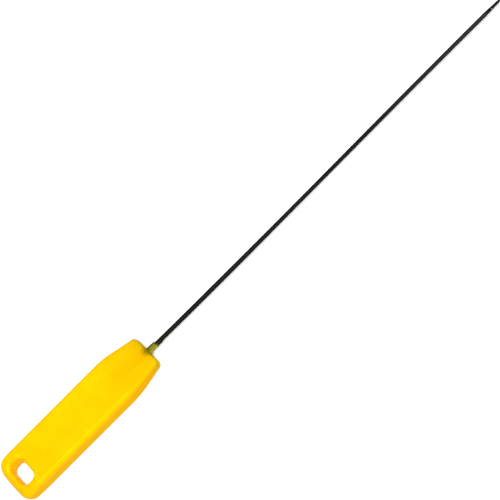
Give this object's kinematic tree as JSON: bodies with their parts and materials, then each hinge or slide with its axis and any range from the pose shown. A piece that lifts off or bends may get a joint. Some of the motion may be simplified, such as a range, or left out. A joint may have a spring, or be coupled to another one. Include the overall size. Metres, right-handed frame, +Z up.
{
  "type": "tyre plug insertion tool",
  "caption": "Flat moulded handle with a hang hole, holding a long thin needle with an open eye near its point, for pushing a plug string through a tyre.",
  "frame": {"origin": "bottom centre of the whole tool's box, on the surface that the handle lies on", "axes": "+X along the tool from the handle to the needle's point, +Y across the handle, +Z up out of the handle's flat underside"},
  "size_m": [0.4, 0.0286, 0.015],
  "materials": {
    "handle_plastic": "satin",
    "ferrule_brass": "satin",
    "sleeve_rubber": "matte",
    "needle_steel": "satin",
    "anchor_steel": "satin"
  },
  "bodies": {
    "root": {"handle": "handle_plastic", "ferrule": "ferrule_brass", "needle_sleeve": "sleeve_rubber", "needle": "needle_steel", "tail_anchor": "anchor_steel"}
  },
  "joints": []
}
